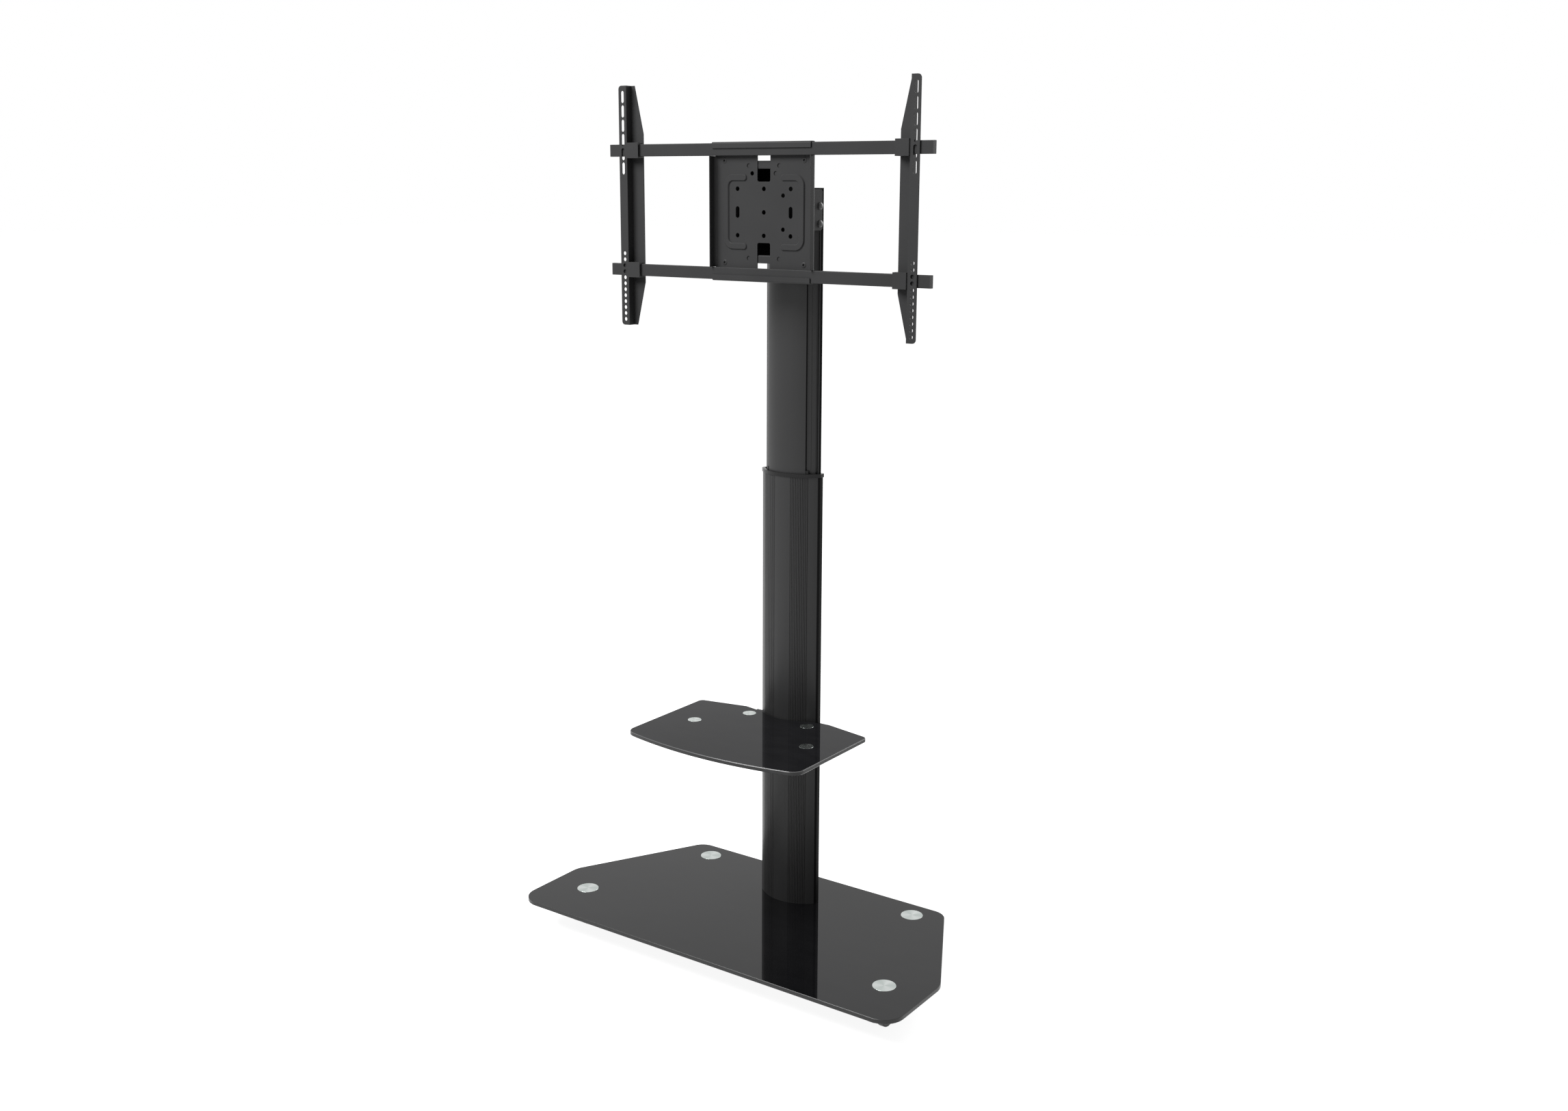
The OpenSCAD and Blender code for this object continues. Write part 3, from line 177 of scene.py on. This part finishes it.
def powder_coat(name, level, rough=0.48, gloss=0.12):
    """Black powder coat: a fine orange-peel grain, a little uneven in gloss."""
    m = Nodes(name)
    cloud = m.noise(scale=9, detail=2)
    grain = m.noise(scale=1900, detail=2, rough=0.6)
    peel = m.noise(scale=420, detail=1)
    m.grey(cloud, level, 0.94, 1.06, tint=0.02)
    m.roughness(grain, rough - 0.06, rough + 0.06)
    peeled = m.bump(peel, strength=0.12, distance=0.1 * MM)
    m.normal(m.bump(grain, strength=0.25, distance=0.05 * MM, after=peeled))
    m.set(Specular_IOR_Level=gloss)
    return m.material


def extrusion(name, level, rough=0.4, gloss=0.12):
    """Black satin extrusion with faint draw lines along its length."""
    m = Nodes(name)
    draw = m.noise(scale=1, detail=4, rough=0.6, stretch=(900, 900, 1.5))
    cloud = m.noise(scale=5, detail=2, stretch=(1, 1, 0.3))
    m.grey(cloud, level, 0.95, 1.05, tint=0.02)
    m.roughness(draw, rough - 0.05, rough + 0.07)
    m.normal(m.bump(draw, strength=0.18, distance=0.05 * MM))
    m.set(Specular_IOR_Level=gloss)
    return m.material


def black_glass(name, level, ior):
    """Glass enamelled black from below: deep, polished, very slightly smeared."""
    m = Nodes(name)
    smear = m.noise(scale=14, detail=4, rough=0.6, stretch=(1, 2, 1))
    dust = m.noise(scale=2600, detail=1)
    m.grey(smear, level, 0.85, 1.15, tint=0.1)
    m.roughness(smear, 0.02, 0.04)
    m.normal(m.bump(dust, strength=0.02, distance=0.01 * MM))
    m.set(IOR=ior)
    return m.material


def ground_edge(name, level, rough=0.34):
    """The ground and dressed edge of a glass plate, with fine grinding lines along it."""
    m = Nodes(name)
    grind = m.noise(scale=1, detail=4, rough=0.7, stretch=(60, 60, 2400))
    m.grey(grind, level, 0.9, 1.1, tint=0.02)
    m.roughness(grind, rough - 0.06, rough + 0.06)
    m.normal(m.bump(grind, strength=0.1, distance=0.03 * MM))
    m.set(IOR=1.4)
    return m.material


def turned_metal_with_painted_sheen(name):
    """Aluminium faced on a lathe: rings, and soft sectors of painted highlight, about the piece's own
    middle.
    """
    m = Nodes(name)
    where = m.add("ShaderNodeTexCoord")
    rings = m.add("ShaderNodeTexWave", wave_type="RINGS", rings_direction="Z", wave_profile="SAW")
    rings.inputs["Scale"].default_value = CAP_RINGS
    rings.inputs["Distortion"].default_value = 0.6
    rings.inputs["Detail"].default_value = 2
    m.link(where.outputs["Object"], rings.inputs["Vector"])
    sweep = m.add("ShaderNodeTexGradient", gradient_type="RADIAL")
    m.link(where.outputs["Object"], sweep.inputs["Vector"])
    # painted highlight: the colour is lighter in sectors round the cap's middle
    angle = m.add("ShaderNodeMath", operation="MULTIPLY")
    angle.inputs[1].default_value = CAP_HIGHLIGHT_SECTORS * math.tau
    m.link(sweep.outputs["Fac"], angle.inputs[0])
    painted_highlights = m.add("ShaderNodeMath", operation="SINE")
    m.link(angle.outputs[0], painted_highlights.inputs[0])
    both = m.add("ShaderNodeMath", operation="MULTIPLY_ADD")
    both.inputs[1].default_value = CAP_RING_SHARE
    m.link(rings.outputs["Fac"], both.inputs[0])
    m.link(m.span(painted_highlights.outputs[0], 0, 1 - CAP_RING_SHARE, source=(-1, 1)), both.inputs[2])
    m.colour(both.outputs[0], CAP_DARK, CAP_LIGHT)
    m.roughness(rings.outputs["Fac"], 0.19, 0.26, source=(0, 1))
    m.normal(m.bump(rings.outputs["Fac"], strength=0.05, distance=0.03 * MM))
    tangent = m.add("ShaderNodeTangent", direction_type="RADIAL", axis="Z")
    m.link(tangent.outputs["Tangent"], m.shader.inputs["Tangent"])
    m.set(Metallic=1.0, Anisotropic=0.6)
    return m.material


def moulded_plastic(name, level, rough=0.5):
    """Moulded plastic with a fine spark-eroded grain."""
    m = Nodes(name)
    grain = m.noise(scale=1500, detail=3, rough=0.65)
    cloud = m.noise(scale=30, detail=2)
    m.grey(cloud, level, 0.85, 1.15)
    m.roughness(grain, rough - 0.07, rough + 0.07)
    m.normal(m.bump(grain, strength=0.3, distance=0.04 * MM))
    m.set(Specular_IOR_Level=0.3)
    return m.material


def rubber(name, level):
    """Matt black rubber."""
    m = Nodes(name)
    grain = m.noise(scale=900, detail=3)
    m.grey(grain, level, 0.75, 1.25)
    m.roughness(grain, 0.7, 0.85)
    m.normal(m.bump(grain, strength=0.3, distance=0.05 * MM))
    return m.material


def plated_steel(name, level, rough=0.34):
    """Zinc or black oxide on steel, slightly clouded."""
    m = Nodes(name)
    cloud = m.noise(scale=160, detail=4)
    m.grey(cloud, level, 0.8, 1.1)
    m.roughness(cloud, rough - 0.06, rough + 0.1)
    m.normal(m.bump(cloud, strength=0.1, distance=0.03 * MM))
    m.set(Metallic=1.0)
    return m.material


# ---- Changes of shape: each is given a mesh under work ----
LIP_T = 1.5 * MM  # of the head channel's lips
LIP_REACH = 20 * MM
LIP_END = 4 * MM  # how far the lips stay short of the channel's ends
STUD_FACE = 0.5 * MM  # a stud's face is what lies this near to its front
STUD_SINK = 1.6 * MM
SCREW_CAD_R = 5.4 * MM
SCREW_PROFILE = (  # radius and depth from the plate's face, in mm: socket, oval head, cone and shank
    (2.6, 1.5), (2.6, -1.0), (3.2, -1.15), (4.4, -1.0), (5.5, -0.65), (6.2, -0.15), (6.3, 0.1),
    (2.6, 1.8), (2.45, 6.4))
SCREW_SOCKET = (0, 1)  # the profile's six-sided rings
LATHE_STEPS = 48
RIB_AREA = (112 * MM, 88 * MM)  # half the width and height of the field of pressed ribs
RIB_FOOT = 0.3 * MM
RIB_LIFT = 1.3 * MM
LEVEL = 0.01 * MM  # an edge that rises less is level
RIM_TURN = 1.2  # radians, the least angle between a glass plate's face and its rim
CAP_CLEAR = 34 * MM  # from a cap's middle, past the edge of its hole


def add_box(bm, low, high):
    """An upright box between two corners."""
    corners = bmesh.ops.create_cube(bm, size=1)["verts"]
    size = Vector(high) - Vector(low)
    for v in corners:
        v.co = Vector(low) + Vector([(v.co[k] + 0.5) * size[k] for k in range(3)])


def channel_lips(bm):
    """Narrow lips turned forward at both ends of the head channel's web, dark sheets that wear the
    channel's painted shade.
    """
    low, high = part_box("head_channel")
    for side, sign in ((low.x, 1), (high.x, -1)):
        left, right = sorted((side, side + sign * LIP_T))
        add_box(bm, (left, high.y - LIP_REACH, low.z + LIP_END), (right, high.y - LIP_T, high.z - LIP_END))


def sink_heads(bm):
    """Lets the heads of the press-in studs lie below the plate's face."""
    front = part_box("plate_studs")[0].y
    for v in bm.verts:
        if v.co.y < front + STUD_FACE:
            v.co.y = front + STUD_SINK


def lathe(bm, profile, place, hexagon):
    """Turns pairs of radius and depth, in mm, about a line along y through place.

    The rings whose numbers are in hexagon are six-sided.
    """
    rings = []
    for number, (radius, depth) in enumerate(profile):
        ring = []
        for i in range(LATHE_STEPS):
            turn = math.tau * i / LATHE_STEPS
            reach = radius
            if number in hexagon:
                reach = radius / math.cos((turn + math.pi / 6) % (math.pi / 3) - math.pi / 6)
            spot = Vector((reach * math.cos(turn), depth, reach * math.sin(turn))) * MM
            ring.append(bm.verts.new(place + spot))
        rings.append(ring)
    for a, b in zip(rings, rings[1:]):
        for i in range(LATHE_STEPS):
            j = (i + 1) % LATHE_STEPS
            bm.faces.new((a[i], a[j], b[j], b[i]))
    bm.faces.new(rings[0])
    bm.faces.new(rings[-1][::-1])


def oval_screws(bm):
    """Turns the countersunk screws into oval heads with hexagon sockets, standing a little proud."""
    low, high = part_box("corner_screws")
    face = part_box("plate_studs")[0].y
    half = (high.x - low.x) / 2 - SCREW_CAD_R
    rise = (high.z - low.z) / 2 - SCREW_CAD_R
    middle = (low + high) / 2
    bmesh.ops.delete(bm, geom=bm.verts[:], context="VERTS")
    for sx in (-1, 1):
        for sz in (-1, 1):
            place = Vector((middle.x + sx * half, face, middle.z + sz * rise))
            lathe(bm, SCREW_PROFILE, place, SCREW_SOCKET)
    bmesh.ops.recalc_face_normals(bm, faces=bm.faces[:])


def lift_ribs(bm):
    """Draws the centre plate's pressed ribs a little deeper, so that their flanks catch light."""
    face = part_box("plate_studs")[0].y
    low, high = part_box("centre_plate")
    middle = (low.z + high.z) / 2
    for v in bm.verts:
        inside = abs(v.co.x) < RIB_AREA[0] and abs(v.co.z - middle) < RIB_AREA[1]
        if inside and v.co.y < face - RIB_FOOT:
            v.co.y -= RIB_LIFT


def grind_arris(width, caps):
    """Chamfers a glass plate's outline by that width, and leaves the edges round its caps sharp."""
    middles = [middle for middle, _ in islands(caps)]

    def shape(bm):
        bm.normal_update()
        rims = []
        for e in bm.edges:
            a, b = (v.co for v in e.verts)
            spot = (a + b) / 2
            near = min(math.hypot(spot.x - m.x, spot.y - m.y) for m in middles)
            if abs(a.z - b.z) < LEVEL and e.calc_face_angle(0) > RIM_TURN and near > CAP_CLEAR:
                rims.append(e)
        bmesh.ops.bevel(bm, geom=rims, offset=width, offset_type="OFFSET", segments=1, profile=0.5,
                        affect="EDGES", clamp_overlap=False)
    return shape


# ---- Pieces ----
WELD = 0.002 * MM
FLAT_ANGLE = 0.3  # degrees, the most between two faces that are merged
SOFT_EDGE = 0.35 * MM
SOFT_ANGLE = 34  # degrees, the least between two faces whose edge is rounded
SMOOTH = 25  # degrees, the most between two faces that are shaded as one
FACE_WEIGHT = 60  # how far a large face bends the shading of its corners its own way
PLATE_FACE = 0.95  # the least height of the normal of a glass plate's face
PLATE_RIM = 0.3  # and the most of its rim's; what lies between them is its arris
LOWER_SHADE_TURN = 0.72  # the least sideways part of the normal of a face with painted side shade, lower column
UPPER_SHADE_TURN = 0.75  # and upper column


def mesh_copy(node, shape=None):
    """The node's solid as a clean mesh, changed by shape: doubles joined and flat faces merged."""
    bm = bmesh.new()
    bm.from_mesh(frame["nodes"][node].data)
    bmesh.ops.remove_doubles(bm, verts=bm.verts, dist=WELD)
    bmesh.ops.dissolve_limit(bm, angle_limit=math.radians(FLAT_ANGLE), verts=bm.verts, edges=bm.edges)
    if shape:
        shape(bm)
    bmesh.ops.triangulate(bm, faces=[f for f in bm.faces if len(f.verts) > 4], ngon_method="EAR_CLIP")
    mesh = bpy.data.meshes.new(node + "_dressed")
    bm.to_mesh(mesh)
    bm.free()
    for name in ("custom_normal", "sharp_edge", "sharp_face"):
        if name in mesh.attributes:
            mesh.attributes.remove(mesh.attributes[name])
    mesh.materials.clear()
    return mesh


def apply_modifiers(obj):
    """Gives the object its mesh with the modifiers applied, and clears them."""
    shown = obj.evaluated_get(bpy.context.evaluated_depsgraph_get())
    mesh = bpy.data.meshes.new_from_object(shown)
    obj.modifiers.clear()
    obj.data = mesh


def islands(node):
    """The node's separate solids, each as its middle and its mesh about that middle, from left to right."""
    whole = bmesh.new()
    whole.from_mesh(mesh_copy(node))
    whole.verts.ensure_lookup_table()
    left = set(range(len(whole.verts)))
    found = []
    while left:
        grow = [left.pop()]
        island = set(grow)
        while grow:
            for e in whole.verts[grow.pop()].link_edges:
                for v in e.verts:
                    if v.index in left:
                        left.discard(v.index)
                        island.add(v.index)
                        grow.append(v.index)
        places = [whole.verts[i].co for i in island]
        middle = Vector([(min(p[k] for p in places) + max(p[k] for p in places)) / 2 for k in range(3)])
        part = whole.copy()
        part.verts.ensure_lookup_table()
        bmesh.ops.delete(part, geom=[v for v in part.verts if v.index not in island], context="VERTS")
        bmesh.ops.translate(part, verts=part.verts, vec=-middle)
        mesh = bpy.data.meshes.new(node + "_part")
        part.to_mesh(mesh)
        part.free()
        found.append((middle, mesh))
    whole.free()
    return sorted(found, key=lambda f: (round(f[0].x, 4), round(f[0].y, 4)))


def soften(obj, edge, steps):
    """Rounds every sharp edge of the object to that width."""
    bevel = obj.modifiers.new("edge", "BEVEL")
    bevel.width = edge
    bevel.segments = steps
    bevel.limit_method = "ANGLE"
    bevel.angle_limit = math.radians(SOFT_ANGLE)
    bevel.harden_normals = False
    bevel.use_clamp_overlap = True


def settle(obj, smooth):
    """Applies the rounded edges, and shades the result smooth with its large faces kept flat."""
    apply_modifiers(obj)
    obj.data.shade_smooth()
    obj.data.set_sharp_from_angle(angle=math.radians(smooth))
    weigh = obj.modifiers.new("weigh", "WEIGHTED_NORMAL")
    weigh.weight = FACE_WEIGHT
    weigh.keep_sharp = True
    apply_modifiers(obj)


def stand_for(obj, node):
    """Makes the piece ride where the CAD node does, and stand for it."""
    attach(obj, BODY_OF[node])
    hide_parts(node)
    return obj


def piece(name, mesh, material):
    """A new object with that mesh and finish."""
    obj = bpy.data.objects.new(name, mesh)
    bpy.context.scene.collection.objects.link(obj)
    obj.data.materials.append(material)
    return obj


def dress(node, material, edge=SOFT_EDGE, steps=2, smooth=SMOOTH, shape=None):
    """A copy of a CAD node with softened edges, which stands for it."""
    obj = piece(node + "_look", mesh_copy(node, shape), material)
    if edge:
        soften(obj, edge, steps)
    settle(obj, smooth)
    return stand_for(obj, node)


def paint_side_shade(obj, material, turn):
    """Paints shade on the narrow sides of an upright extrusion, turned sideways more than turn, with a
    darker and duller copy of its finish.
    """
    obj.data.materials.append(material)
    for polygon in obj.data.polygons:
        if abs(polygon.normal.x) > turn:
            polygon.material_index = 1


def dress_glass(node, caps, face, rim, arris, width):
    """A glass plate: polished faces, with a ground edge and an arris of that width all round."""
    obj = dress(node, face, edge=0, shape=grind_arris(width, caps))
    obj.data.materials.append(rim)
    obj.data.materials.append(arris)
    for polygon in obj.data.polygons:
        up = abs(polygon.normal.z)
        if up < PLATE_FACE:
            polygon.material_index = 1 if up < PLATE_RIM else 2


def dress_caps(node, material):
    """Each cap as its own piece, with its origin in its middle for the turned rings."""
    for number, (middle, mesh) in enumerate(islands(node), 1):
        mesh.name = f"{node}_{number}"
        obj = piece(mesh.name, mesh, material)
        obj.location = middle
        soften(obj, edge=0.15 * MM, steps=2)
        settle(obj, smooth=32)
        stand_for(obj, node)


def finish_only(node, material):
    """Keeps the CAD node as it is and gives it its finish."""
    data = frame["nodes"][node].data
    data.materials.clear()
    data.materials.append(material)


# ---- The stand ----
def dress_plates():
    """The two glass plates. The shelf's arris is wider and catches more light, and its lighter colour is a
    painted highlight.
    """
    rim = ground_edge("ground_edge", level=0.022)
    dress_glass("base_glass", "base_caps", face=black_glass("base_black_glass", level=0.006, ior=1.32),
                rim=rim, arris=rim, width=0.8 * MM)
    # painted highlight: the shelf's arris is much lighter in colour than its rim
    dress_glass("shelf_glass", "shelf_caps", face=black_glass("shelf_black_glass", level=0.011, ior=1.14),
                rim=ground_edge("shelf_ground_edge", level=0.016),
                arris=ground_edge("arris_painted_highlight", level=0.1, rough=0.25), width=1.4 * MM)


def dress_column():
    """The column's extrusions and what is clamped round them."""
    column = extrusion("column_coat", level=0.024, rough=0.38, gloss=0.32)
    # painted shade: a darker, duller copy of the column coat for its narrow sides
    side = extrusion("column_side_painted_shade", level=0.008, gloss=0.05)
    dress("shelf_hub", column)
    dress("shelf_clamp", column)
    paint_side_shade(dress("lower_column", column), side, LOWER_SHADE_TURN)
    paint_side_shade(dress("upper_column", column), side, UPPER_SHADE_TURN)
    # painted light: a lighter copy of the column coat stands in for light on the saddle's shaded side
    dress("saddle", extrusion("saddle_coat_painted_light", level=0.05, gloss=0.3), edge=0.5 * MM)
    dress("collar", extrusion("collar_coat", level=0.01, rough=0.24, gloss=0.24),
          edge=1.2 * MM, steps=4, smooth=35)


def dress_steel():
    """The folded and pressed steel, with the coated studs and screws in it."""
    metal = powder_coat("powder_coat", level=0.036)
    rail_metal = powder_coat("rail_coat", level=0.036, rough=0.42)
    # painted shade: the channel and its lips get a much darker copy of the coat, for the hollow behind the
    # plate
    dress("head_channel", powder_coat("inner_coat_painted_shade", level=0.008, gloss=0.05), shape=channel_lips)
    dress("plate_studs", metal, edge=0.15 * MM, steps=1, shape=sink_heads)
    dress("corner_screws", metal, edge=0, shape=oval_screws)
    dress("centre_plate", metal, shape=lift_ribs)
    for node in ("head_cheek_left", "head_cheek_right", "head_flange_top", "head_flange_bottom",
                 "screen_bracket_left", "screen_bracket_right", "rail_clips_left",
                 "rail_clips_right", "shelf_bracket", "base_plate", "clamp_plate"):
        dress(node, metal)
    for node in ("rail_top", "rail_bottom"):
        dress(node, rail_metal, edge=0.8 * MM, steps=3)


def dress_mouldings(zinc):
    """The plastic pieces, castors among them, and the rubber pads."""
    plastic = moulded_plastic("black_plastic", level=0.03)
    wheel = moulded_plastic("wheel_plastic", level=0.035, rough=0.42)
    gasket = rubber("gasket_rubber", level=0.016)
    for node in ("rail_end_plugs", "rail_bushings_left", "rail_bushings_right", "column_top_cap",
                 "rear_cover"):
        dress(node, plastic, edge=0.5 * MM)
    for corner in CORNERS:
        dress("castor_hood_" + corner, plastic, edge=0.6 * MM, steps=3)
        dress("castor_wheels_" + corner, wheel, edge=0.4 * MM)
        finish_only("castor_axle_" + corner, zinc)
    for node in ("base_cap_gaskets", "base_pad", "shelf_pads"):
        finish_only(node, gasket)
    finish_only("glide_band", moulded_plastic("glide_plastic", level=0.6))


def dress_fixings(zinc):
    """Caps, nuts, bolts and screws."""
    turned = turned_metal_with_painted_sheen("turned_caps_painted_sheen")
    black_screw = powder_coat("screw_black", level=0.01, rough=0.3, gloss=0.6)
    oxide = plated_steel("oxide_steel", level=0.18, rough=0.42)
    for node in ("base_caps", "shelf_caps"):
        dress_caps(node, turned)
    for node in ("plate_nuts", "column_foot"):
        dress(node, zinc, edge=0.3 * MM)
    for node in ("head_screws", "saddle_bolts"):
        dress(node, black_screw, edge=0.4 * MM)
    for node in ("castor_stems", "base_bolts", "clamp_screws", "nut_plate", "shelf_bolts",
                 "shelf_clamp_screws"):
        dress(node, oxide, edge=0.4 * MM)


def build_object():
    """Dresses the whole stand."""
    zinc = plated_steel("zinc_steel", level=0.6)
    dress_plates()
    dress_column()
    dress_steel()
    dress_mouldings(zinc)
    dress_fixings(zinc)


# ---- Studio ----
WORLD_SEEN = 1.0
WORLD_LIGHT = 0.18
FLOOR_HALF = 60
FLOOR_GREY = 0.6
FLOOR_GLOW = 0.9  # with the lamps' light on it, this makes the floor as white as the world
LAMP_TARGET = (0, 0, 0.9)
KEY_PLACE = (-1.55, -2.9, 4.4)
KEY_SIZE = 2.4
KEY_WATTS = 280
REAR_PLACE = (0.8, 4.4, 2.8)
REAR_SIZE = 2.6
REAR_WATTS = 80


def ray_mix(tree, seen, lit):
    """The value seen where the camera, a reflection or glass looks, and lit where light is gathered."""
    path = tree.nodes.new("ShaderNodeLightPath")
    most = tree.nodes.new("ShaderNodeMath")
    most.operation = "MAXIMUM"
    tree.links.new(path.outputs["Is Glossy Ray"], most.inputs[0])
    tree.links.new(path.outputs["Is Transmission Ray"], most.inputs[1])
    both = tree.nodes.new("ShaderNodeMath")
    both.operation = "MAXIMUM"
    tree.links.new(path.outputs["Is Camera Ray"], both.inputs[0])
    tree.links.new(most.outputs[0], both.inputs[1])
    level = tree.nodes.new("ShaderNodeMapRange")
    level.inputs["To Min"].default_value = lit
    level.inputs["To Max"].default_value = seen
    tree.links.new(both.outputs[0], level.inputs["Value"])
    return level.outputs["Result"]


def make_world():
    """A white world that lights the object only faintly."""
    world = bpy.data.worlds.new("studio")
    bpy.context.scene.world = world
    world.use_nodes = True
    back = world.node_tree.nodes["Background"]
    back.inputs["Color"].default_value = (1, 1, 1, 1)
    strength = ray_mix(world.node_tree, WORLD_SEEN, WORLD_LIGHT)
    world.node_tree.links.new(strength, back.inputs["Strength"])


def make_floor():
    """A pale floor that takes shadows and runs into the white background without a line."""
    bm = bmesh.new()
    bmesh.ops.create_grid(bm, x_segments=1, y_segments=1, size=FLOOR_HALF)
    mesh = bpy.data.meshes.new("floor")
    bm.to_mesh(mesh)
    bm.free()
    floor = bpy.data.objects.new("floor", mesh)
    bpy.context.scene.collection.objects.link(floor)
    m = Nodes("floor")
    m.set(Base_Color=(FLOOR_GREY, FLOOR_GREY, FLOOR_GREY, 1), Roughness=1.0, Specular_IOR_Level=0.0)
    m.set(Emission_Color=(1, 1, 1, 1))
    m.link(ray_mix(m.tree, FLOOR_GLOW, 0.0), m.shader.inputs["Emission Strength"])
    mesh.materials.append(m.material)


def area_light(name, place, size, watts):
    """A square lamp that faces the middle of the stand."""
    data = bpy.data.lights.new(name, "AREA")
    data.shape = "RECTANGLE"
    data.size = size
    data.size_y = size
    data.energy = watts
    lamp = bpy.data.objects.new(name, data)
    bpy.context.scene.collection.objects.link(lamp)
    lamp.location = place
    aim = Vector(LAMP_TARGET) - Vector(place)
    lamp.rotation_euler = aim.to_track_quat("-Z", "Y").to_euler()


make_camera()
build_object()
make_world()
make_floor()
area_light("key", KEY_PLACE, KEY_SIZE, KEY_WATTS)
area_light("rear", REAR_PLACE, REAR_SIZE, REAR_WATTS)
bpy.context.scene.view_settings.view_transform = "Standard"

bpy.context.view_layer.update()
